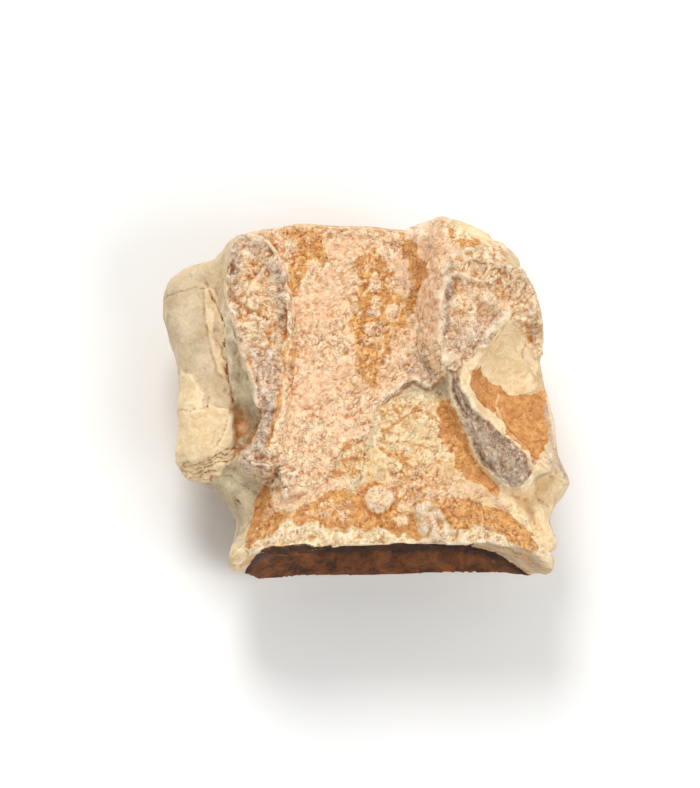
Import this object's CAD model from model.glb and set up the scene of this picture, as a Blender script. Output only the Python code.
import math

import bmesh
import bpy
import numpy as np
from mathutils import Matrix, Vector
from mathutils.bvhtree import BVHTree


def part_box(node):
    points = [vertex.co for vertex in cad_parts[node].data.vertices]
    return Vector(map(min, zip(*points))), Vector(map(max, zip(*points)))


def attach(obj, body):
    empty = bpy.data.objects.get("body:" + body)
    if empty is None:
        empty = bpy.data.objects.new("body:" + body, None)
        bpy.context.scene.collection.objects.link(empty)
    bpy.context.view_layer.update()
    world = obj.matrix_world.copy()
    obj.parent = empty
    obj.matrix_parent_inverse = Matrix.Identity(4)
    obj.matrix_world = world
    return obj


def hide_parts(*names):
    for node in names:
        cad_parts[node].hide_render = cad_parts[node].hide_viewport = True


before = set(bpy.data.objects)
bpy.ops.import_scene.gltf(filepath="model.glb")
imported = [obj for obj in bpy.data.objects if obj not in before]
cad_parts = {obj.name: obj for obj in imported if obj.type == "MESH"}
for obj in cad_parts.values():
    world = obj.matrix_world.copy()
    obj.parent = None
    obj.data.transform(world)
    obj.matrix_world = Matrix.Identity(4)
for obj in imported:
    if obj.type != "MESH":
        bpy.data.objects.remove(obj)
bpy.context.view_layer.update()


# Camera: over the specimen's back, tipped a little towards its hind end and its left side, with a
# long lens, so that the fossil lies square in the picture as it does on a museum's copy stand.
PICTURE = (700, 788)  # picture size, in its own pixels
PIXEL = 0.0738  # millimetres to a pixel at the height of the canal's floor
AIM = Vector((-1.59, 0.28, 11.2))  # millimetres: what stands in the picture's middle
TIP_LEFT = math.radians(6)
TIP_HIND = math.radians(11)
ROLL = math.radians(1.5)
DISTANCE = 600  # millimetres from the aim to the lens
SENSOR = 36  # millimetres
MM = 0.001  # in metres

back = Vector((-math.tan(TIP_LEFT), -math.tan(TIP_HIND), 1)).normalized()
level = Vector((back.z, 0, -back.x)).normalized()
right = Matrix.Rotation(-ROLL, 3, back) @ level
up = back.cross(right)
eye = AIM + back * DISTANCE

camera_data = bpy.data.cameras.new("copy_stand_camera")
camera_data.sensor_width = SENSOR
camera_data.lens = SENSOR * DISTANCE / (PICTURE[1] * PIXEL)
camera_data.clip_start = 0.05
camera = bpy.data.objects.new("copy_stand_camera", camera_data)
turn = Matrix((right, up, back)).transposed().to_4x4()
camera.matrix_world = Matrix.Translation(eye * MM) @ turn
link = bpy.context.collection.objects.link
link(camera)
bpy.context.scene.camera = camera


def in_picture(points):
    """Where points of the specimen, in millimetres, fall in the picture."""
    away = points - np.array(eye)
    depth = -(away @ np.array(back))
    scale = DISTANCE / depth / PIXEL
    return (PICTURE[0] / 2 + away @ np.array(right) * scale,
            PICTURE[1] / 2 - away @ np.array(up) * scale)


# The whole specimen: petrified bone with its crust and siltstone, which weathered and took their
# stains together in the ground. It is first made as one skin over copies of the CAD nodes, in
# millimetres, and the pieces are taken from that skin further down.
SKIN_STEP = 0.12  # millimetres between neighbouring points of the skin
FLOOR = 11.82  # height of the canal's floor, under the crust
# Each node, how far its copy swells to close the gap to the bone, and the height it is cut at.
COPIES = (("bone", 0.0, None), ("canal_crust", 0.42, FLOOR),
          ("siltstone_left", 0.38, None), ("siltstone_right", 0.38, None))
# Middles and radii of two swellings of bone, in the corners between the hind rim and the flanges.
CORNERS = (((12.2, -9.3, 8.7), (1.1, 2.2, 1.5)), ((-9.0, -9.9, 8.2), (0.9, 1.4, 1.5)))


def closed_copy(name, grow, ceiling=None):
    """A CAD node in millimetres, moved outwards a little and cut level at a ceiling."""
    part = bmesh.new()
    part.from_mesh(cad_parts[name].data)
    bmesh.ops.scale(part, vec=(1000, 1000, 1000), verts=part.verts)
    bmesh.ops.remove_doubles(part, verts=part.verts, dist=0.002)
    bmesh.ops.recalc_face_normals(part, faces=part.faces)
    part.normal_update()
    for vertex in part.verts:
        vertex.co += vertex.normal * grow
        if ceiling is not None:
            vertex.co.z = min(vertex.co.z, ceiling)
    mesh = bpy.data.meshes.new(name + "_copy")
    part.to_mesh(mesh)
    part.free()
    return mesh


whole = bmesh.new()
for node, grow, ceiling in COPIES:
    whole.from_mesh(closed_copy(node, grow, ceiling))
for place, radii in CORNERS:
    bmesh.ops.create_icosphere(whole, subdivisions=3, radius=1.0, matrix=Matrix.Translation(place)
                               @ Matrix.Diagonal((*radii, 1)))
rough_mesh = bpy.data.meshes.new("skin")
whole.to_mesh(rough_mesh)
whole.free()
skin = bpy.data.objects.new("skin", rough_mesh)
link(skin)
remesh = skin.modifiers.new("skin", "REMESH")
remesh.mode = "VOXEL"
remesh.voxel_size = SKIN_STEP
dense = skin.evaluated_get(bpy.context.evaluated_depsgraph_get()).to_mesh()

points = np.empty(len(dense.vertices) * 3)
dense.vertices.foreach_get("co", points)
points = points.reshape(-1, 3)
quads = np.empty(len(dense.loops), dtype=np.int64)
dense.loops.foreach_get("vertex_index", quads)
quads = quads.reshape(-1, 4)
edges = np.empty(len(dense.edges) * 2, dtype=np.int64)
dense.edges.foreach_get("vertices", edges)
edges = edges.reshape(-1, 2)
bpy.data.objects.remove(skin)


def smoothed(values, rounds, weight=0.5):
    """Values at the skin's points, each drawn towards the mean of its neighbours."""
    a, b = edges.T
    count = len(values)
    degree = np.bincount(a, minlength=count) + np.bincount(b, minlength=count)
    values = values.reshape(count, -1).copy()
    weight = np.broadcast_to(np.asarray(weight, dtype=float).reshape(-1, 1), (count, 1))
    for _ in range(rounds):
        for k in range(values.shape[1]):
            total = np.bincount(a, values[b, k], count) + np.bincount(b, values[a, k], count)
            values[:, k] += weight[:, 0] * (total / degree - values[:, k])
    return values


def normals_of(points):
    """The outward direction at each of the skin's points."""
    corners = points[quads]
    across = np.cross(corners[:, 2] - corners[:, 0], corners[:, 3] - corners[:, 1])
    total = np.stack([sum(np.bincount(quads[:, i], across[:, k], len(points)) for i in range(4))
                      for k in range(3)], axis=1)
    return total / np.maximum(np.linalg.norm(total, axis=1, keepdims=True), 1e-12)


def scrambled(cell, seed):
    """Three repeatable numbers from 0 to 1 for each whole-numbered cell of space."""
    x, y, z = (cell[..., k].astype(np.uint64) for k in range(3))
    mixed = (x * np.uint64(73856093)) ^ (y * np.uint64(19349663)) ^ (z * np.uint64(83492791))
    mixed = (mixed + np.uint64(seed * 9781 + 1)) & np.uint64(0xFFFFFFFF)
    out = []
    for factor in (2654435761, 2246822519, 3266489917):
        mixed = ((mixed ^ (mixed >> np.uint64(15))) * np.uint64(factor)) & np.uint64(0xFFFFFFFF)
        out.append((mixed >> np.uint64(8)).astype(float) / 2 ** 24)
    return np.stack(out, axis=-1)


def ripple(points, size, seed, octaves=1):
    """Smooth noise from -1 to 1 whose swellings are about size millimetres apart."""
    full_height = 1.6  # brings plain gradient noise up to 1
    total = 0
    strength = 1.0
    for octave in range(octaves):
        at = points / size * 2 ** octave + 11.3 * (octave + 1)
        low = np.floor(at)
        part = at - low
        rise = part ** 3 * (part * (part * 6 - 15) + 10)
        value = 0
        for corner in ((i, j, k) for i in (0, 1) for j in (0, 1) for k in (0, 1)):
            slope = scrambled((low + corner).astype(np.int64), seed + octave) * 2 - 1
            share = np.prod(np.where(np.array(corner) == 1, rise, 1 - rise), axis=-1)
            value = value + share * np.sum(slope * (part - corner), axis=-1)
        total = total + strength * value * full_height
        strength *= 0.5
    return total


def ease(value, start, end):
    """0 up to start, 1 from end on, and a smooth rise between them."""
    part = np.clip((value - start) / (end - start), 0, 1)
    return part * part * (3 - 2 * part)


# Outlines and lines are given by a few places in the picture, in its pixels. They fall on the skin
# along the camera's view, and waver makes them uneven.
waver = np.zeros((len(points), 2))
across, down = in_picture(points)


def to_path(path, wander=0.0, closed=False):
    """Distance in the picture to a line through a few places, with a wavering course."""
    x = across + waver[:, 0] * wander
    y = down + waver[:, 1] * wander
    nearest = np.full(len(x), 1e9)
    ends = path[1:] + path[:1] if closed else path[1:]
    for (x0, y0), (x1, y1) in zip(path, ends):
        ex, ey = x1 - x0, y1 - y0
        t = np.clip(((x - x0) * ex + (y - y0) * ey) / (ex * ex + ey * ey), 0, 1)
        nearest = np.minimum(nearest, np.hypot(x - x0 - t * ex, y - y0 - t * ey))
    return nearest


def within(outline, soft=4, wander=3):
    """1 inside an outline in the picture and 0 outside, over a soft, wavering edge."""
    x = across + waver[:, 0] * wander
    y = down + waver[:, 1] * wander
    inside = np.zeros(len(x), dtype=bool)
    for (x0, y0), (x1, y1) in zip(outline, outline[1:] + outline[:1]):
        run = (x1 - x0) / (y1 - y0) if y1 != y0 else 0.0
        inside ^= ((y0 > y) != (y1 > y)) & (x < (y - y0) * run + x0)
    depth = to_path(outline, wander, closed=True)
    return ease(np.where(inside, depth, -depth), -soft / 2, soft / 2)


REACH = 0.6  # millimetres: how far off a node is looked for


def near_node(name, where=None):
    """Distance from each point of the skin to a CAD node, where it is near, in millimetres."""
    part = bmesh.new()
    part.from_mesh(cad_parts[name].data)
    bmesh.ops.scale(part, vec=(1000, 1000, 1000), verts=part.verts)
    tree = BVHTree.FromBMesh(part)
    low, high = (np.array(corner) * 1000 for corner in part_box(name))
    part.free()
    distance = np.full(len(points), 9.0)
    close = np.all((points > low - REACH) & (points < high + REACH), axis=1)
    for i in np.flatnonzero(close if where is None else close & where):
        distance[i] = tree.find_nearest(points[i])[3] or 0.0
    return distance


# Wear: dense bone that was rolled and weathered until its forms went soft. The broken edges of the
# stumps and the hind rim are younger and stay crisp.
PLUG_DEPTH = 0.30  # millimetres: how far the siltstone lies below the bone round it
LEFT_BREAK = [
    (234, 234), (250, 235), (264, 242), (275, 254), (282, 264), (287, 278), (287, 310), (287, 335),
    (285, 360), (282, 385), (279, 402), (273, 422), (270, 445), (266, 456), (255, 462), (245, 460),
    (242, 450), (250, 438), (256, 422), (258, 405), (255, 385), (249, 370), (242, 352), (236, 332),
    (230, 312), (226, 292), (226, 275), (229, 255)]
RIGHT_BREAK = [
    (452, 258), (468, 251), (485, 248), (508, 243), (526, 245), (535, 254), (542, 268), (547, 288),
    (552, 310), (554, 330), (550, 353), (535, 358), (526, 330), (508, 313), (500, 324), (488, 340),
    (473, 357), (460, 369), (450, 372), (444, 360), (441, 335), (442, 310), (444, 285), (447, 268)]
TAIL = [
    (449, 370), (458, 370), (461, 388), (471, 408), (487, 422), (503, 435), (517, 448), (529, 462),
    (531, 475), (523, 485), (511, 488), (498, 479), (481, 465), (474, 450), (466, 432), (459, 412),
    (451, 392)]
crust_gap = near_node("canal_crust")
silt_gap = np.minimum(near_node("siltstone_left"), near_node("siltstone_right"))
bone_gap = np.minimum(near_node("bone", np.minimum(crust_gap, silt_gap) < REACH), REACH)
crisp = np.minimum.reduce([to_path(LEFT_BREAK, closed=True), to_path(RIGHT_BREAK, closed=True),
                           to_path(TAIL, closed=True)])
hind_edge = (1 - ease(points[:, 1], -10.5, -8.5)) * (1 - ease(np.abs(points[:, 0]), 9.5, 10.8))
pull = (0.08 + 0.42 * ease(crisp, 2, 7)) * (1 - 0.75 * hind_edge)
points = smoothed(points, 24, pull)
facing = normals_of(points)
silt = smoothed((silt_gap < bone_gap).astype(float), 4)[:, 0]
points = points - PLUG_DEPTH * smoothed(facing * silt[:, None], 6)

facing = normals_of(points)
across, down = in_picture(points)
# The hind face from 0 in its middle to 1 along its rounded rim, the dish that is hollowed into it,
# the pale lip on the dish's right side, and all that the camera sees.
hind_face = np.abs((points[:, 0] - 1.1) / 12.2) ** 3 + np.abs(
    (points[:, 2] - 6.2) / np.where(points[:, 2] > 6.2, 5.2, 6.0)) ** 3
dish = ease(-facing[:, 1], 0.1, 0.4) * ease(1 - hind_face, 0, 0.1) * ease(
    -points[:, 1] - 3.6 * np.clip(hind_face, 0, 1), 5.6, 6.4)
side_lip = ease(across, 465, 480) * ease(down, 543, 549)
seen = ease(facing @ np.array(back), 0.05, 0.3) * (
    1 - dish * ease(0.8 - hind_face, 0, 0.2) * (1 - side_lip))
waver = np.stack([ripple(points, 1.3, 3, 3), ripple(points, 1.3, 5, 3)], axis=1)

# Main forms that wear, breakage and the rock have left: the sunk groove beside the left break,
# thin plates and ledges under it, and the knob and crumbs of rock near the hind edge.
groove = within([
    (233, 262), (228, 282), (223, 296), (226, 322), (226, 352), (230, 380), (234, 400), (234, 440),
    (237, 456), (252, 440), (258, 420), (255, 398), (249, 376), (241, 352), (234, 330), (228, 310),
    (226, 290), (229, 268)], 5, 2) * seen
wall = within([
    (410, 226), (440, 226), (449, 262), (445, 290), (443, 330), (447, 362), (442, 374), (424, 356),
    (411, 324), (406, 285), (405, 248)], 18, 2) * seen
brow = within([
    (412, 222), (440, 218), (478, 222), (505, 238), (510, 250), (500, 250), (468, 250), (448, 262),
    (430, 258), (415, 245)], 12, 2) * seen
plates = within([
    (180, 372), (192, 376), (208, 394), (209, 407), (232, 410), (233, 436), (229, 450), (200, 460),
    (170, 466), (170, 400)], 2.5, 3) * seen
ledges = within([
    (172, 462), (205, 458), (231, 448), (238, 455), (226, 468), (208, 486), (190, 490),
    (170, 478)], 4, 3) * seen
folds = within([
    (242, 452), (266, 456), (290, 466), (300, 476), (286, 490), (266, 486),
    (250, 472)], 6, 3) * seen
knob = within([
    (364, 497), (369, 489), (381, 486), (392, 490), (395, 500), (389, 509), (378, 513),
    (368, 508)], 4, 2) * seen
crumbs = within([
    (416, 510), (424, 505), (436, 510), (448, 520), (454, 532), (446, 538), (430, 537),
    (422, 524)], 6, 9) * seen
canal = np.clip(1 - ((points[:, 0] + 1.2) / 5.2) ** 2, 0, 1) * ease(points[:, 2], 11, 11.6)
canal *= 1 - within(LEFT_BREAK, 2, 0)
# How far each form stands out or lies sunk, in millimetres.
carve = (-0.55 * groove + 0.38 * wall + 0.22 * brow + 0.16 * plates + 0.34 * knob
         - 0.30 * canal * seen)
carve += ledges * 0.5 * (np.floor(3 * ripple(points, 3.2, 51, 2)) / 3)
carve += folds * 0.45 * ripple(points * np.array([0.8, 2.4, 1.0]), 1.3, 53, 2)
carve += 0.22 * ease(-points[:, 1], 9.5, 10.5) * (1 - ease(points[:, 2], 3, 5))
carve += 0.25 * ease(facing[:, 1], 0.3, 0.9) * ease(points[:, 1], 9.5, 11) * ease(
    points[:, 0], -9.5, -8.5) * ease(points[:, 2], 7, 9)

# Chipped and rubbed outline: small swellings and losses in millimetres, by bearing in degrees from
# the middle of the specimen. The picture's right is 0 and its top is 90.
MIDDLE = (385, 395)
LIP_RISE = 0.55  # how far the hind rim overhangs its dish
TRIMS = [(0, 0.0), (12, -0.25), (20, 0.15), (40, 0.25), (44, 0.1), (46, -0.2), (48, -0.55),
         (50, -0.5), (54, -1.1), (58, -0.8), (62, -0.55), (66, 0.0), (70, 0.9), (72, 0.4),
         (75, -0.05), (83, -0.32), (95, 0.0), (105, 0.0), (118, 0.32), (125, 0.0), (133, 0.2),
         (145, -0.25), (152, 0.0), (165, -0.3), (175, 0.0), (183, 0.35), (190, -0.1), (197, 0.05),
         (204, 0.33), (210, -0.45), (221, -0.35), (226, 1.2), (229, -0.4), (232, -0.15),
         (235, 0.45), (245, 0.1), (270, 0.05), (290, -0.07), (309, 0.0), (312, -0.8),
         (314.5, -0.4), (318, 1.0), (320, 0.7), (322, -0.3), (325, -0.05), (332, -0.35),
         (335, 0.45), (341, 0.15), (350, 0.35), (356, 0.2)]
east, north = across - MIDDLE[0], MIDDLE[1] - down
bearing = np.degrees(np.arctan2(north, east)) % 360
trim = np.interp(bearing, *zip(*TRIMS), period=360) * ease(np.hypot(east, north), 95, 150)
outward = np.outer(east, right) + np.outer(north, up)
outward[:, 2] = 0
outward /= np.maximum(np.linalg.norm(outward, axis=1, keepdims=True), 1e-6)
lip = ease(-points[:, 1], 8.8, 10.4) * ease(points[:, 2], 9.4, 10.6) * ease(
    across, 262, 300) * (1 - ease(across, 455, 490))
points = points + np.outer(LIP_RISE * lip, (0, -1, 0))
carve += crumbs * (0.25 + 0.4 * ripple(points, 0.9, 55, 2))
points = points + smoothed(facing * carve[:, None], 4) + smoothed(outward * trim[:, None], 24)
points = smoothed(points, 10, 0.5 * smoothed(silt, 6)[:, 0])
facing = normals_of(points)
across, down = in_picture(points)


# Relief of the crust: pink siltstone nodules grown together, with pits between them. It ends in a
# low step on the right and towards the hind end. Relief is in millimetres along the normals.


def lumps(points, size, seed):
    """Distance to the nearest of many scattered centres, in sizes, and that centre's own number."""
    at = points / size
    low = np.floor(at)
    nearest = np.full(len(points), 9.0)
    own = np.zeros(len(points))
    for step in ((i, j, k) for i in (-1, 0, 1) for j in (-1, 0, 1) for k in (-1, 0, 1)):
        cell = low + step
        spot = scrambled(cell.astype(np.int64), seed)
        away = np.linalg.norm(cell + spot - at, axis=-1)
        closer = away < nearest
        nearest = np.where(closer, away, nearest)
        own = np.where(closer, spot[:, 0], own)
    return nearest, own


def wrinkles(size, seed):
    """Short curved furrows, 0 to 1, like the outlines of grains that lie side by side."""
    furrow = 1 - ease(np.abs(ripple(points, size, seed, 2)), 0.0, 0.2)
    return furrow * ease(ripple(points, size * 2.2, seed + 5, 1), -0.05, 0.2)


crust = within([
    (258, 230), (277, 250), (285, 268), (287, 300), (287, 340), (285, 380), (281, 410), (273, 440),
    (265, 462), (262, 480), (272, 489), (305, 489), (328, 484), (334, 469), (339, 456), (358, 441),
    (368, 435), (376, 408), (395, 392), (410, 384), (430, 388), (446, 376), (447, 357), (441, 338),
    (441, 310), (444, 280), (449, 262), (462, 252), (476, 250), (472, 236), (455, 224), (430, 190),
    (400, 190), (350, 190), (270, 190)], 4, 3) * seen
step = within([
    (200, 100), (600, 100), (600, 372), (447, 372), (430, 389), (410, 383), (395, 391), (378, 406),
    (368, 436), (350, 458), (336, 472), (320, 486), (280, 500), (200, 507)], 3, 3)
nodule, _ = lumps(points, 0.55, 11)
pit, pit_own = lumps(points, 0.9, 17)
pitted = (pit_own > 0.86) * (1 - ease(pit, 0.08, 0.42))
blush = within([
    (273, 490), (305, 489), (320, 486), (350, 472), (352, 488), (330, 492), (305, 506), (290, 512),
    (276, 508)], 6, 4) * seen
crusty = np.clip(crust + 0.7 * knob + 0.6 * crumbs + 0.5 * blush, 0, 1)
high_step = within([(385, 330), (460, 330), (460, 400), (388, 402)], 24, 3)
relief = crust * step * (0.06 + 0.26 * high_step)
relief += crusty * (0.08 * (0.7 - nodule) + 0.18 * ripple(points, 1.9, 21, 3) - 0.13 * pitted)
densely = crusty * np.clip(0.6 + 0.4 * ease(down, 270, 330)
                           + 0.7 * ripple(points, 3.5, 27, 2), 0, 1)
relief -= densely * (0.10 * wrinkles(0.9, 23) + 0.11 * wrinkles(0.55, 25))

# Relief of the broken faces: spongy bone whose cells are filled with mineral, inside a thin rim of
# dense bone. The neural arch stood on them before it broke away.


def along(path, width, wander=2.0):
    """1 on a line in the picture, falling to 0 at half its width."""
    return 1 - ease(to_path(path, wander), 0, width / 2)


left_break = within(LEFT_BREAK, 3, 1.0) * seen
right_break = within(RIGHT_BREAK, 3, 1.5) * seen
tail = within(TAIL, 3, 1.5) * seen
dish_rim = (1 - ease(to_path([(508, 312), (499, 322), (487, 340), (475, 356), (466, 370),
                              (464, 385), (470, 400), (482, 412), (496, 424), (508, 438),
                              (524, 455)], 1.5), 4, 7)) * seen
cell, _ = lumps(points, 0.5, 29)
spongy = np.clip(left_break + right_break + tail, 0, 1)
relief += left_break * (0.04 * (0.6 - cell) + 0.30 * ripple(points, 1.5, 31, 3) - 0.04)
relief += right_break * (0.05 * (0.6 - cell) + 0.40 * ripple(points, 2.2, 33, 3))
relief += tail * (0.24 * ripple(points * np.array([1, 0.6, 1]), 1.3, 37, 3) - 0.14)
relief -= (spongy - 0.5 * tail) * (0.11 * wrinkles(1.2, 61) + 0.06 * wrinkles(0.6, 63))
relief += dish_rim * 0.16
relief += 0.10 * seen * np.maximum(
    along([(226, 250), (225, 290), (230, 312), (242, 352), (255, 385), (258, 405)], 4, 0.5),
    along([(256, 234), (270, 246), (282, 262), (287, 280), (288, 330)], 3.5, 0.5))

# Relief of the dense outer bone: gently uneven, crumbling where rock pulled it away, and chipped
# along the pale hind rim.
rim_paint = within([
    (249, 560), (251, 551), (259, 539), (275, 536), (279, 526), (289, 521), (305, 524), (325, 529),
    (346, 532), (361, 529), (375, 528), (394, 534), (413, 541), (423, 538), (457, 536), (459, 531),
    (469, 524), (483, 531), (506, 539), (523, 552), (537, 559), (552, 570), (540, 580), (500, 562),
    (450, 549), (400, 547), (325, 545), (275, 550), (250, 566)], 5, 6) * seen
hind_rim = rim_paint * (1 - ease(-facing[:, 1], 0.6, 0.9))
rough = np.clip(spongy + crusty, 0, 1)
relief += (1 - rough) * (0.05 * ripple(points, 3.0, 41, 2) + 0.04 * ripple(points, 0.7, 43, 3))
relief += hind_rim * (0.10 + 0.2 * ripple(points, 1.2, 45, 3))
flaky = within([
    (380, 405), (400, 390), (430, 395), (447, 385), (455, 410), (460, 440), (470, 490), (500, 500),
    (536, 520), (550, 560), (520, 550), (460, 530), (300, 530), (262, 545), (250, 545), (262, 495),
    (320, 505), (345, 470)], 14, 6) * seen * (1 - rough)
relief -= flaky * (0.06 * wrinkles(1.2, 71) + 0.07 * wrinkles(0.6, 73))
relief -= 0.11 * rim_paint * wrinkles(0.7, 75)

# Cracks: hairlines through the dense bone from drying and from the weight of the rock, the lifted
# edge of a flake beside the groove, and thin layers of bone that part under the left stump.
flake_edge = along([(206, 282), (212, 296), (221, 314), (225, 335), (223, 356), (226, 376),
                    (231, 392), (233, 404)], 5, 2) * seen
cracks = np.maximum.reduce([along(path, 2.8, 2.5) for path in (
    [(166, 297), (182, 292), (196, 285), (205, 289)],
    [(178, 410), (195, 410), (209, 409), (210, 398)],
    [(232, 410), (222, 435), (216, 445), (232, 449)],
    [(361, 521), (359, 532), (357, 543)], [(350, 486), (352, 470), (359, 455)],
    [(286, 390), (292, 385), (300, 380)], [(364, 455), (363, 470)],
    [(511, 317), (520, 328), (527, 338), (522, 360)],
    [(398, 386), (392, 395), (382, 406)], [(421, 477), (430, 469), (440, 462)],
    [(478, 452), (477, 460), (474, 464)])]) * seen
flake = within([
    (205, 284), (214, 290), (222, 312), (226, 335), (224, 358), (226, 378), (219, 372), (212, 350),
    (206, 322)], 3, 2) * seen
layer = to_path([(172, 452), (186, 458), (205, 456), (220, 450), (232, 443)], 5) % 4.2 / 4.2
layers = within([
    (168, 454), (186, 459), (205, 457), (230, 445), (236, 452), (224, 466), (206, 482), (186, 488),
    (168, 474)], 4, 3) * seen
relief += 0.12 * flake - 0.13 * flake_edge - 0.06 * cracks
relief += layers * (0.16 * layer + 0.10 * ripple(points, 1.0, 77, 2))
fold = 1 - ease(np.abs(ripple(points * np.array([0.55, 1.5, 1]), 0.9, 79, 2)), 0, 0.25)
relief -= 0.14 * fold * folds
stump_foot = within([
    (233, 448), (244, 440), (264, 444), (276, 458), (290, 478), (262, 487), (250, 478),
    (240, 466)], 6, 3) * seen
ridges = np.maximum(along([(529, 459), (541, 462), (550, 470), (557, 478), (569, 483)], 4, 1.5),
                    along([(545, 446), (553, 462), (562, 476)], 4, 1.5)) * seen
relief += 0.12 * ridges
relief += stump_foot * (0.16 * ripple(points, 0.8, 57, 2) - 0.12 * wrinkles(0.7, 59))
relief *= 1 - 0.6 * ease(-facing[:, 1], 0.6, 0.9)
points = points + facing * relief[:, None]
facing = normals_of(points)


# Stains: iron and manganese from the ground water, silt in the hollows, and bone rubbed pale. Each
# is a mask from 0 to 1 that the materials break up: near a half it shows as islands.


def spread(*patches, soft=14, wander=4):
    """The strongest of several patches at each point, each a strength and an outline."""
    return np.maximum.reduce([share * within(outline, soft, wander) for share, outline in patches])


hidden = 1 - seen
iron = spread(
    (1.0, [(282, 226), (325, 226), (324, 242), (327, 262), (322, 268), (316, 257), (305, 261),
           (309, 270), (306, 280), (299, 286), (298, 297), (290, 299), (289, 268), (293, 258),
           (297, 249), (296, 238), (280, 234)]),
    (0.6, [(258, 238), (272, 234), (281, 246), (285, 256), (279, 257), (270, 247)]),
    (0.62, [(350, 257), (362, 250), (376, 248), (384, 262), (396, 268), (404, 300), (396, 334),
            (388, 352), (376, 386), (362, 378), (356, 350), (348, 330), (352, 316), (360, 296)]),
    (0.95, [(359, 282), (368, 284), (370, 312), (372, 324), (350, 328), (344, 322), (356, 314)]),
    (0.9, [(402, 236), (414, 238), (418, 252), (428, 266), (422, 282), (418, 296), (414, 314),
           (406, 326), (396, 334), (388, 336), (398, 316), (406, 304), (409, 290), (410, 268),
           (403, 256)]),
    (0.8, [(385, 322), (392, 324), (391, 345), (386, 362), (382, 340)]),
    (0.8, [(356, 352), (362, 346), (366, 360), (378, 376), (380, 392), (366, 382), (358, 368)]),
    (0.85, [(286, 346), (295, 352), (296, 366), (288, 370)]),
    (1.0, [(245, 545), (250, 530), (254, 510), (258, 494), (264, 484), (271, 488), (273, 498),
           (276, 510), (286, 514), (296, 509), (306, 503), (312, 494), (320, 488), (330, 490),
           (331, 470), (344, 470), (344, 482), (347, 494), (358, 494), (362, 488), (374, 482),
           (384, 486), (396, 496), (398, 512), (402, 530), (394, 536), (380, 530), (361, 526),
           (346, 528), (325, 526), (305, 521), (289, 518), (278, 524), (273, 534), (258, 537),
           (250, 549)]),
    (0.95, [(394, 509), (409, 512), (421, 532), (420, 540), (409, 539), (394, 534)]),
    (1.0, [(437, 502), (460, 495), (480, 504), (499, 509), (509, 516), (523, 526), (534, 538),
           (536, 552), (528, 554), (517, 545), (506, 536), (487, 531), (483, 525), (469, 522),
           (457, 529), (451, 524), (443, 516)]),
    (1.0, [(457, 428), (465, 436), (471, 450), (475, 464), (483, 475), (491, 480), (500, 486),
           (500, 496), (489, 492), (477, 484), (467, 478), (458, 470), (455, 455)]),
    (0.8, [(437, 402), (452, 400), (462, 424), (462, 444), (450, 450), (440, 440)]),
    (0.4, [(380, 405), (400, 390), (425, 395), (446, 410), (452, 460), (430, 478), (395, 470),
           (376, 450)]),
    (0.7, [(386, 474), (410, 466), (440, 470), (455, 490), (440, 504), (410, 508), (392, 496)]),
    (1.0, [(468, 370), (480, 367), (487, 380), (503, 387), (508, 392), (534, 392), (545, 389),
           (548, 415), (548, 438), (543, 454), (534, 463), (524, 455), (512, 443), (504, 434),
           (502, 420), (494, 412), (484, 405), (475, 396)]),
    (0.9, [(453, 241), (480, 239), (478, 248), (460, 250)]),
    (0.8, [(447, 228), (457, 227), (456, 240), (448, 240)]),
    (0.46, [(233, 412), (244, 404), (252, 410), (249, 428), (244, 440), (236, 448), (232, 438)]),
    (0.7, [(518, 318), (528, 322), (534, 342), (528, 344)]),
    soft=9)
iron = np.maximum.reduce([
    iron, 0.9 * along([(286, 305), (287, 336), (285, 370), (282, 388), (279, 405), (274, 425),
                       (268, 450)], 9, 2),
    0.75 * along([(380, 431), (397, 424), (420, 404)], 9, 3),
    0.8 * along([(380, 449), (394, 456), (406, 468), (419, 474)], 9, 3),
    0.75 * along([(284, 228), (330, 229), (360, 231), (402, 233)], 8, 2),
    0.5 * left_break * ease(ripple(points, 1.9, 81, 2), -0.05, 0.3),
    0.42 * right_break * ease(ripple(points, 1.4, 83, 2), 0.1, 0.4),
    0.5 * seen * within([(338, 440), (366, 436), (372, 476), (344, 490), (332, 478)], 10, 4),
    0.5 * hidden * ease(ripple(points, 5.0, 85, 2), -0.1, 0.5)])
# Pale nodules that stand out of the iron stain: where each lies and its radius, in pixels.
NODULES = [(288, 246, 8), (375, 286, 7), (376, 302, 4), (360, 311, 4), (373, 312, 5),
           (392, 313, 8), (374, 332, 8), (398, 284, 9), (403, 266, 6)]
pale_nodules = seen * np.maximum.reduce([
    1 - ease(np.hypot(across + waver[:, 0] * 3 - x, down + waver[:, 1] * 3 - y), size - 2, size + 2)
    for x, y, size in NODULES])
vein = along([(498, 395), (496, 408), (503, 422), (505, 433)], 4, 2)
iron = iron * (1 - 0.85 * pale_nodules) * (1 - 0.9 * vein) * (1 - 0.9 * knob) * (1 - 0.7 * crumbs)

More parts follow.
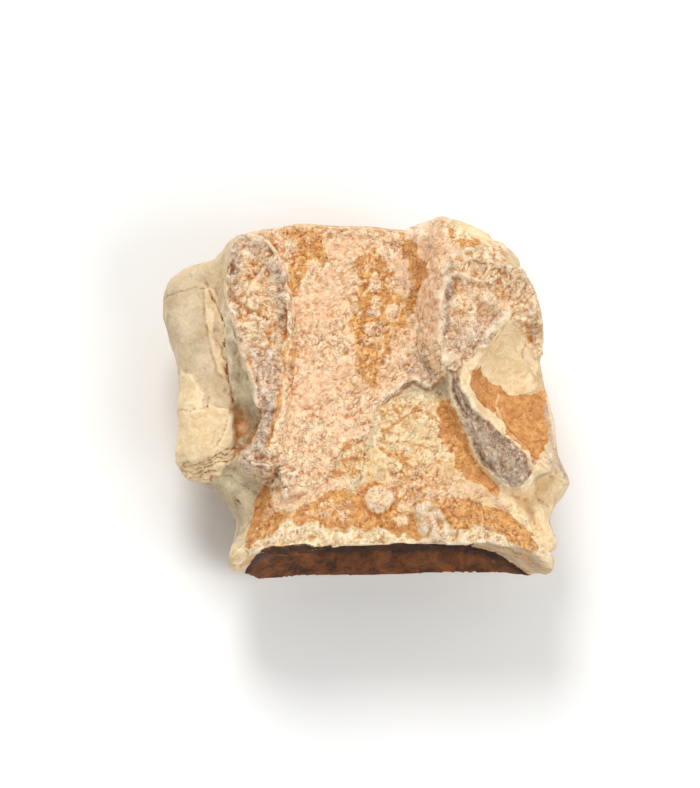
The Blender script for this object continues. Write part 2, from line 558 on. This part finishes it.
slate = np.maximum.reduce([
    tail,
    0.5 * right_break * spread((1.0, [(444, 268), (450, 264), (452, 300), (450, 334),
                                      (443, 334)]), soft=4),
    0.6 * left_break * spread((1.0, [(228, 262), (238, 256), (238, 282), (230, 290)]),
                              (1.0, [(272, 262), (283, 270), (285, 300), (276, 300)]),
                              (0.9, [(262, 395), (280, 395), (270, 450), (252, 455)]), soft=8),
    0.36 * seen * within([(258, 463), (310, 463), (306, 480), (280, 484), (256, 482)], 12, 5),
])
mauve = np.maximum.reduce([
    0.66 * left_break * spread(
        (1.0, [(226, 240), (240, 232), (262, 240), (282, 262), (290, 300), (288, 350), (274, 330),
               (270, 290), (262, 262), (244, 254), (240, 290), (242, 320), (228, 300)]),
        (1.0, [(238, 332), (256, 345), (284, 350), (280, 405), (268, 455), (242, 462),
               (256, 405)])),
    0.7 * right_break * spread(
        (1.2, [(446, 262), (456, 262), (454, 300), (452, 333), (443, 333), (442, 300)]),
        (0.85, [(441, 332), (465, 322), (506, 304), (508, 318), (488, 342), (450, 374)]),
        (0.7, [(515, 256), (530, 280), (545, 330), (540, 356), (524, 320), (520, 290)])),
    0.34 * right_break,
    0.44 * spread((1.0, [(251, 464), (272, 462), (300, 464), (318, 478), (312, 488), (280, 484),
                         (262, 488)])),
    0.9 * stump_foot * within([(236, 442), (264, 442), (268, 458), (262, 470), (246, 471)], 6, 4),
    0.46 * np.maximum(stump_foot, folds), 0.36 * crumbs,
    0.5 * spread((1.0, [(211, 322), (220, 318), (223, 345), (215, 346)]), soft=6) * seen,
    0.42 * knob * ease(down, 494, 508),
    0.5 * crust * spread((1.0, [(392, 356), (420, 350), (445, 372), (436, 388), (400, 382)]),
                          (0.9, [(416, 228), (436, 228), (440, 252), (424, 262)])),
    0.75 * seen * along([(546, 406), (551, 440), (560, 462), (567, 481)], 10, 2),
    0.46 * seen * within([(470, 547), (500, 548), (526, 556), (546, 564), (548, 577), (530, 580),
                          (508, 563), (486, 553)], 6, 5),
])
RIGHT_CORNER = [
    (525, 488), (531, 470), (534, 459), (551, 459), (570, 482), (560, 498), (551, 509), (537, 497)]
drab = spread(
    (1.0, [(234, 262), (229, 285), (223, 296), (226, 322), (227, 352), (231, 380), (235, 400),
           (234, 440), (238, 456), (252, 440), (258, 420), (255, 398), (249, 376), (241, 352),
           (234, 330), (228, 310), (226, 290)]),
    (1.0, [(205, 476), (225, 456), (243, 464), (251, 472), (258, 483), (259, 495), (253, 507),
           (250, 519), (243, 532), (243, 548), (230, 546), (215, 520), (200, 490)]),
    (0.42, [(476, 362), (488, 348), (500, 342), (510, 343), (517, 353), (526, 366), (532, 372),
            (535, 387), (523, 392), (506, 391), (488, 380), (480, 371)]),
    (0.6, RIGHT_CORNER),
    (0.36, [(163, 285), (180, 268), (215, 268), (208, 300), (222, 330), (220, 372), (206, 392),
            (180, 372), (163, 330)]),
    (0.5, [(388, 396), (402, 392), (404, 410), (390, 424), (382, 412)]),
    (0.5, [(402, 424), (420, 420), (422, 440), (406, 442)]),
    (0.6, [(399, 384), (446, 380), (452, 402), (430, 400), (410, 398)]),
    soft=8) * (1 - 0.8 * ease(-points[:, 1], 9.5, 11))
cream = np.maximum.reduce([
    plates, 0.8 * flake, 0.85 * layers, 0.92 * rim_paint, dish_rim, 0.85 * ledges,
    spread(
        (1.0, [(499, 484), (520, 490), (551, 506), (556, 560), (548, 574), (536, 552), (520, 528),
               (504, 508)]),
        (1.0, [(463, 396), (477, 402), (496, 414), (508, 428), (506, 436), (489, 424),
               (470, 408)]),
        (0.9, [(457, 226), (485, 228), (510, 248), (500, 248), (480, 240), (458, 238)]),
        (1.0, [(479, 333), (492, 332), (506, 316), (524, 314), (534, 340), (541, 390), (534, 372),
               (524, 356), (512, 336), (498, 336), (486, 346)]),
        (0.8, [(471, 362), (486, 347), (498, 336), (512, 338), (525, 361), (540, 388), (523, 393),
               (506, 392), (488, 381), (480, 371)]),
        (0.7, RIGHT_CORNER),
        (1.0, [(524, 484), (540, 484), (552, 500), (558, 524), (554, 548), (536, 540),
               (522, 510)]),
        (0.5, [(336, 440), (364, 436), (372, 476), (344, 488)]),
        (0.95, [(232, 543), (243, 546), (248, 562), (254, 576), (236, 576), (228, 560)]),
        (0.5, [(380, 405), (400, 385), (442, 395), (462, 435), (450, 462), (437, 472), (400, 480),
               (375, 472), (357, 460), (375, 430)]),
        soft=8),
]) * seen
cream = np.maximum(cream, ease(points[:, 2], 10, 11.5) * within(
    [(457, 222), (485, 222), (516, 246), (500, 250), (480, 240), (458, 238)], 8, 3))
pink = np.maximum.reduce([
    0.7 * blush, 0.8 * knob, 0.62 * crumbs, 0.9 * pale_nodules, 0.47 * rim_paint,
    spread(
        (0.5, [(303, 504), (335, 498), (357, 500), (354, 524), (328, 526), (304, 520)]),
        (0.24, [(250, 500), (300, 500), (420, 500), (520, 520), (530, 545), (470, 520), (400, 535),
                (300, 525), (250, 540)]),
        (0.52, [(384, 474), (420, 464), (455, 468), (480, 484), (500, 494), (520, 514), (500, 510),
                (480, 504), (440, 502), (400, 510), (384, 500)]),
        (0.8, [(394, 512), (406, 512), (408, 526), (396, 528)])),
    0.35 * hidden * ease(ripple(points, 4.0, 91, 2), 0.1, 0.5),
])
# The rim's lower edge in the picture. Under it the dish is dark brown.
RIM_X = [243, 248, 255, 262, 275, 300, 330, 377, 398, 434, 463, 486, 506, 520, 527, 538]
RIM_Y = [575, 566, 556, 549, 546, 545, 546, 545, 545, 544, 545, 550, 558, 567, 573, 577]
under_rim = ease(down + 2 * waver[:, 1] - np.interp(across, RIM_X, RIM_Y), -1, 1.5)
umber = dish * np.maximum.reduce([
    under_rim, ease(0.27 - hind_face, 0, 0.16),
    ease(-facing @ np.array(back), 0, 0.15) * (hind_face < 0.9),
    ease(across, 258, 275) * (1 - ease(across, 465, 480)) * ease(9.8 - points[:, 2], 0, 0.4)])
umber = np.maximum(umber, under_rim * within([(250, 572), (250, 550), (264, 542), (330, 542),
                                              (340, 572)], 3, 1)
                   * ease(facing @ np.array(back), 0.05, 0.3))
cream *= 1 - umber
rust = np.maximum.reduce([
    0.5 * flake_edge, 0.5 * layers * (1 - ease(layer, 0.05, 0.3)), 0.4 * cracks,
    0.52 * seen * along([(243, 531), (246, 545), (250, 559)], 8, 3), 0.47 * fold * folds,
    0.5 * seen * within([(232, 497), (242, 499), (241, 513), (233, 510)], 9, 3)])

# Dirt stays in hollows and edges are rubbed pale: both follow from how far each point stands out
# from what is around it, in millimetres.
swell = np.sum((points - smoothed(points, 8)) * facing, axis=1)
hollow = np.maximum(ease(-swell, 0.004, 0.05), 0.7 * rim_paint * ease(-facing[:, 1], 0.5, 0.9))
hollow = np.maximum(hollow, fold * folds)
edge = ease(swell, 0.004, 0.05) * (1 - umber)

# A pale halo of iron round the strong stains.
wash = 1.15 * smoothed(iron, 30)[:, 0] * (1 - 0.8 * wall)
wash = np.maximum(wash, 0.66 * hidden * ease(ripple(points, 6.0, 87, 3), -0.1, 0.6))
wash = np.maximum(wash, spread((0.6, [(380, 400), (445, 395), (465, 430), (500, 490), (530, 530),
                                      (480, 505), (400, 508), (360, 480), (370, 440)])) * seen)
# What every piece carries to its material, by name.
skins = {"crust": crust, "wash": wash, "spongy": np.maximum(left_break, right_break), "iron": iron,
         "mauve": mauve, "slate": slate, "drab": drab, "cream": cream, "pink": pink, "umber": umber,
         "rust": rust, "hollow": hollow, "edge": edge,
         "shade": umber * (1 - ease(down - np.interp(across, RIM_X, RIM_Y), 1, 14)),
         "coarse": 0.15 + 0.75 * np.clip(spongy + densely + 0.5 * flaky + 0.8 * rim_paint
                                         + 0.8 * np.maximum(stump_foot, folds)
                                         + 0.4 * iron * seen, 0, 1)}


# Nodular crust: pink siltstone grown into small nodules, the last of the rock that the bone lay in.
# It is cemented to the floor of the open canal and was never cleaned off. The piece is a shell on
# the bone, closed on its underside and feathered at its edge.
CRUST_SHELL = 0.30  # millimetres thick


def patches(inside, least=300):
    """Faces that lie inside, without stray patches and without necks one face wide."""
    faces = quads[np.all(inside[quads], axis=1)]
    while True:
        sides = np.stack([faces, np.roll(faces, -1, axis=1)], axis=2).reshape(-1, 2)
        ends, uses = np.unique(np.sort(sides, axis=1), axis=0, return_counts=True)
        border = np.zeros(len(points), dtype=bool)
        border[ends[uses == 1].ravel()] = True
        thin = np.all(border[faces], axis=1)
        if not thin.any():
            break
        faces = faces[~thin]
    label = np.arange(len(points))
    before = None
    while before is None or not np.array_equal(before, label):
        before = label.copy()
        np.minimum.at(label, faces, label[faces].min(axis=1)[:, None])
        label = label[label]
    first = label[faces[:, 0]]
    return faces[np.bincount(first)[first] >= least], border


def piece_of(name, faces, places, masks):
    """A piece of the skin as an object in metres, with its masks as attributes."""
    mesh = bpy.data.meshes.new(name)
    mesh.from_pydata((places * MM).tolist(), [], faces.tolist())
    for mask, values in masks.items():
        mesh.attributes.new(mask, "FLOAT", "POINT").data.foreach_set("value", values)
    mesh.shade_smooth()
    made = bpy.data.objects.new(name, mesh)
    link(made)
    return made


calm = normals_of(smoothed(points, 16))  # the way that shells are thick
sunk = np.zeros(len(points))  # how far the bone lies below the skin, in millimetres
CLEARANCE = 0.03  # between a shell and the bone under it


def shell_of(name, inside, thickness):
    """A closed shell from the skin's outside, feathered at its border. The bone sinks under it."""
    faces, border = patches(inside)
    used, corners = np.unique(faces, return_inverse=True)
    corners = corners.reshape(faces.shape)
    inner = ~border[used]
    sunk[used[inner]] = thickness + CLEARANCE
    twin = np.where(inner, len(used) + np.cumsum(inner) - 1, np.arange(len(used)))
    places = np.concatenate([points[used], (points - calm * thickness)[used[inner]]])
    both = np.concatenate([used, used[inner]])
    return piece_of(name, np.concatenate([corners, twin[corners][:, ::-1]]), places,
                    {mask: values[both] for mask, values in skins.items()})


def linear(code):
    """An sRGB hex colour as linear red, green, blue and alpha."""
    parts = [int(code[i:i + 2], 16) / 255 for i in (1, 3, 5)]
    return [p / 12.92 if p <= 0.04045 else ((p + 0.055) / 1.055) ** 2.4 for p in parts] + [1]


def add(tree, kind, inputs=(), **settings):
    """Adds a node with its settings. An input is a value or another node's output."""
    node = tree.nodes.new(kind)
    for name, value in settings.items():
        setattr(node, name, value)
    for socket, value in dict(inputs).items():
        if isinstance(value, bpy.types.NodeSocket):
            tree.links.new(value, node.inputs[socket])
        else:
            node.inputs[socket].default_value = value
    return node


# Each stain's mask, its pale and dark tone, the size of its islands in millimetres, and how soft
# their edges are. A later one lies over an earlier one.
STAINS = (
    ("crust", "#fbd0aa", "#dfac85", 0.6, 0.08),  # siltstone of the crust, on the bone too
    ("drab", "#d2bf9c", "#ae9d80", 1.4, 0.08),  # greenish silt, left in the groove
    ("wash", "#f0c896", "#dcac76", 1.0, 0.08),  # thin iron stain
    ("cream", "#fce4ba", "#dfbb8a", 0.8, 0.08),  # clean dense bone
    ("spongy", "#f6d2ab", "#cc9f79", 0.7, 0.08),  # mineral in the cells of spongy bone
    ("iron", "#dfa063", "#b07442", 0.5, 0.08),  # strong ochre stain
    ("pink", "#fbd4ae", "#d2a27e", 0.5, 0.08),  # thin film of the pink siltstone
    ("mauve", "#d8bda6", "#ad917d", 0.4, 0.22),  # spongy bone darkened by manganese
    ("slate", "#b3a08f", "#857263", 0.5, 0.22),  # the darkest of it, in the long break
    ("umber", "#85502b", "#3f2617", 0.9, 0.08),  # brown bone inside the hind dish
    ("shade", "#4f3526", "#2e1f17", 0.9, 0.30),  # its darkest part, under the rim
    ("rust", "#9c6336", "#64391f", 0.5, 0.08))  # iron in cracks and along thin edges


def mingled(tree, place, pale, dark, scale, roughness, distortion, width):
    """Two tones of one stone in clouds, which blend over a width either side of the middle."""
    cloud = add(tree, "ShaderNodeTexNoise", {"Vector": place, "Scale": scale, "Detail": 8,
                                             "Roughness": roughness, "Distortion": distortion})
    tone = add(tree, "ShaderNodeMapRange", {"Value": cloud.outputs["Fac"],
                                            "From Min": 0.5 - width, "From Max": 0.5 + width})
    return add(tree, "ShaderNodeMix", {0: tone.outputs[0], 6: linear(dark), 7: linear(pale)},
               data_type="RGBA").outputs[2]


def stain(tree, under, name, pale, dark, grain, soft):
    """A stain over a colour: where its mask is, broken up by grain, in two mingled tones."""
    reach = 1.5  # how strongly the grain breaks the mask up
    place = add(tree, "ShaderNodeTexCoord").outputs["Object"]
    share = add(tree, "ShaderNodeAttribute", attribute_name=name).outputs["Fac"]
    speck = add(tree, "ShaderNodeTexNoise", {"Vector": place, "Scale": 1000 / grain, "Detail": 7,
                                             "Roughness": 0.68})
    broken = add(tree, "ShaderNodeMath", {0: speck.outputs["Fac"], 1: reach, 2: share},
                 operation="MULTIPLY_ADD")
    cover = add(tree, "ShaderNodeMapRange",
                {"Value": broken.outputs[0], "From Min": 0.5 + reach / 2 - soft,
                 "From Max": 0.5 + reach / 2 + soft}, interpolation_type="SMOOTHSTEP")
    paint = mingled(tree, place, pale, dark, 640 / grain, 0.74, 0.8, 0.12)
    return add(tree, "ShaderNodeMix", {0: cover.outputs[0], 6: under, 7: paint},
               data_type="RGBA").outputs[2]


def weathered(name, pale, dark, roughness):
    """Stone or bone of two mingled tones with every stain, furrow and grain of the skin on it.

    A noise's scale counts its swellings to a metre: 1000 divided by their size in millimetres.
    """
    material = bpy.data.materials.new(name)
    material.use_nodes = True
    tree = material.node_tree
    shader = tree.nodes["Principled BSDF"]
    place = add(tree, "ShaderNodeTexCoord").outputs["Object"]
    # Mottling, in clouds of 2.4 mm.
    colour = mingled(tree, place, pale, dark, 420, 0.66, 0.5, 0.14)
    for mask, pale_tone, dark_tone, grain, soft in STAINS:
        colour = stain(tree, colour, mask, pale_tone, dark_tone, grain, soft)
    # Dirt in the hollows, and edges that are rubbed pale.
    dirt = add(tree, "ShaderNodeAttribute", attribute_name="hollow").outputs["Fac"]
    colour = add(tree, "ShaderNodeMix", {0: dirt, 6: colour, 7: linear("#d3b193")},
                 data_type="RGBA", blend_type="MULTIPLY").outputs[2]
    rubbed = add(tree, "ShaderNodeAttribute", attribute_name="edge").outputs["Fac"]
    rubbed = add(tree, "ShaderNodeMath", {0: rubbed, 1: 0.35}, operation="MULTIPLY").outputs[0]
    colour = add(tree, "ShaderNodeMix", {0: rubbed, 6: colour, 7: linear("#fff0d8")},
                 data_type="RGBA").outputs[2]
    # Pores and curls, where bone or rock is coarse: dark furrows round paler grains of 0.46 and
    # 0.24 mm. The real ones go down to 0.1 mm and are drawn coarser, so that they show. Under them
    # is a roughness of 0.3 mm.
    coarse = add(tree, "ShaderNodeAttribute", attribute_name="coarse").outputs["Fac"]
    height = add(tree, "ShaderNodeTexNoise", {"Vector": place, "Scale": 3400, "Detail": 5,
                                              "Roughness": 0.65}).outputs["Fac"]
    seldom = 0.49  # a higher one leaves wider gaps between the furrows
    for size in (0.46, 0.24):
        curl = add(tree, "ShaderNodeTexNoise", {"Vector": place, "Scale": 1000 / size, "Detail": 2,
                                                "Distortion": 0.9})
        lit = add(tree, "ShaderNodeMapRange", {"Value": curl.outputs["Fac"], "From Min": 0.62,
                                               "From Max": 0.54, "To Max": 0.42},
                  interpolation_type="SMOOTHSTEP")
        lit = add(tree, "ShaderNodeMath", {0: lit.outputs[0], 1: coarse}, operation="MULTIPLY")
        colour = add(tree, "ShaderNodeMix", {0: lit.outputs[0], 6: colour, 7: linear("#fff4e4")},
                     data_type="RGBA", blend_type="SOFT_LIGHT").outputs[2]
        line = add(tree, "ShaderNodeMath", {0: curl.outputs["Fac"], 1: 0.5}, operation="SUBTRACT")
        line = add(tree, "ShaderNodeMath", {0: line.outputs[0]}, operation="ABSOLUTE")
        line = add(tree, "ShaderNodeMapRange", {"Value": line.outputs[0], "From Max": 0.04,
                                                "To Min": 1.0, "To Max": 0.0},
                   interpolation_type="SMOOTHSTEP")
        gap = add(tree, "ShaderNodeTexNoise", {"Vector": place, "Scale": 470 / size, "Detail": 2})
        gap = add(tree, "ShaderNodeMapRange",
                  {"Value": gap.outputs["Fac"], "From Min": seldom - 0.05,
                   "From Max": seldom + 0.05})
        line = add(tree, "ShaderNodeMath", {0: line.outputs[0], 1: gap.outputs[0]},
                   operation="MULTIPLY")
        line = add(tree, "ShaderNodeMath", {0: line.outputs[0], 1: coarse}, operation="MULTIPLY")
        colour = add(tree, "ShaderNodeMix", {0: line.outputs[0], 6: colour, 7: linear("#c6a78f")},
                     data_type="RGBA", blend_type="MULTIPLY").outputs[2]
        height = add(tree, "ShaderNodeMath", {0: line.outputs[0], 1: -0.5, 2: height},
                     operation="MULTIPLY_ADD").outputs[0]
    # Sandy specks of 0.19 mm. Grains of silt are under 0.06 mm, so these are drawn coarser.
    fine = add(tree, "ShaderNodeTexNoise", {"Vector": place, "Scale": 5200, "Detail": 4,
                                            "Roughness": 0.7})
    fine = add(tree, "ShaderNodeMapRange", {"Value": fine.outputs["Fac"], "From Min": 0.3,
                                            "From Max": 0.7})
    sandy = add(tree, "ShaderNodeMath", {0: coarse, 1: 0.3, 2: 0.08}, operation="MULTIPLY_ADD")
    colour = add(tree, "ShaderNodeMix", {0: sandy.outputs[0], 6: colour, 7: fine.outputs[0]},
                 data_type="RGBA", blend_type="OVERLAY").outputs[2]
    tree.links.new(colour, shader.inputs["Base Color"])
    shader.inputs["Roughness"].default_value = roughness
    shader.inputs["Specular IOR Level"].default_value = 0.25
    # A tenth of a millimetre of relief, finer than the skin's own points can carry.
    bump = add(tree, "ShaderNodeBump", {"Strength": 0.8, "Distance": 0.1 * MM, "Height": height})
    tree.links.new(bump.outputs["Normal"], shader.inputs["Normal"])
    return material


on_crust = smoothed(((crust_gap < bone_gap) & (crust > 0.5)).astype(float), 3)[:, 0] > 0.5
crust_piece = shell_of("nodular_crust", on_crust, CRUST_SHELL)
# Pink nodular siltstone: warm and pale, and so rough that it has a chalky, dry look.
crust_piece.data.materials.append(
    weathered("pink_nodular_siltstone", "#fdd2ac", "#dba780", 0.85))
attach(crust_piece, "root")
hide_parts("canal_crust")


# Siltstone fills: greenish grey silt that settled in the two artery canals and turned to stone.
# Only the plugs at the ends of the canals show, a little below the bone round them.
SILT_SHELL = 0.25  # millimetres thick
silt_left_piece = shell_of("silt_fill_left", (silt > 0.5) & (points[:, 0] < 0), SILT_SHELL)
silt_right_piece = shell_of("silt_fill_right", (silt > 0.5) & (points[:, 0] > 0), SILT_SHELL)
# Green-grey siltstone: cooler, greyer and duller than the bone, with a fine matt grain.
silt_stone = weathered("green_grey_siltstone", "#cdbc98", "#a69a7e", 0.8)
for piece, node in ((silt_left_piece, "siltstone_left"), (silt_right_piece, "siltstone_right")):
    piece.data.materials.append(silt_stone)
    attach(piece, "root")
    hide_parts(node)


# Weathered bone: the vertebra itself, one piece of petrified bone. It is the whole skin, sunk where
# the crust and the siltstone lie on it.
bone = piece_of("weathered_bone", quads, points - calm * sunk[:, None], skins)
# Fossil bone: buff, denser and less rough than the rock, so that it has a faint satin sheen.
bone.data.materials.append(weathered("fossil_bone", "#e6d0ac", "#c8ae89", 0.68))
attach(bone, "root")
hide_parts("bone")


# Stage: a matt white board under two soft boxes and an even white surround, as on a copy stand. The
# stronger light comes from the head end, so that shadows fall towards the hind end.
board_mesh = bpy.data.meshes.new("board")
board_mesh.from_pydata([(-3, -3, 0), (3, -3, 0), (3, 3, 0), (-3, 3, 0)], [], [(0, 1, 2, 3)])
board = bpy.data.objects.new("board", board_mesh)
link(board)
# Matt white board: no gloss, only a soft shadow.
board_paint = bpy.data.materials.new("matt_white_board")
board_paint.use_nodes = True
board_shader = board_paint.node_tree.nodes["Principled BSDF"]
board_shader.inputs["Base Color"].default_value = linear("#fafaf8")
board_shader.inputs["Roughness"].default_value = 0.9
board.data.materials.append(board_paint)


def soft_box(name, place, size, power):
    """A round soft light of a size in metres and a power in watts, aimed at the specimen."""
    light = bpy.data.lights.new(name, "AREA")
    light.shape = "DISK"
    light.size = size
    light.energy = power
    made = bpy.data.objects.new(name, light)
    made.location = place
    made.rotation_euler = (-Vector(place)).to_track_quat("-Z", "Y").to_euler()
    link(made)


soft_box("soft_box_head", (-0.10, 0.35, 0.40), 0.22, 1.6)
soft_box("soft_box_hind", (0.32, -0.22, 0.42), 0.40, 1.2)
SURROUND = 0.55  # strength of the white light from all sides
world = bpy.data.worlds.new("studio")
world.use_nodes = True
world.node_tree.nodes["Background"].inputs["Color"].default_value = (1, 1, 1, 1)
world.node_tree.nodes["Background"].inputs["Strength"].default_value = SURROUND
bpy.context.scene.world = world
bpy.context.scene.view_settings.view_transform = "Standard"
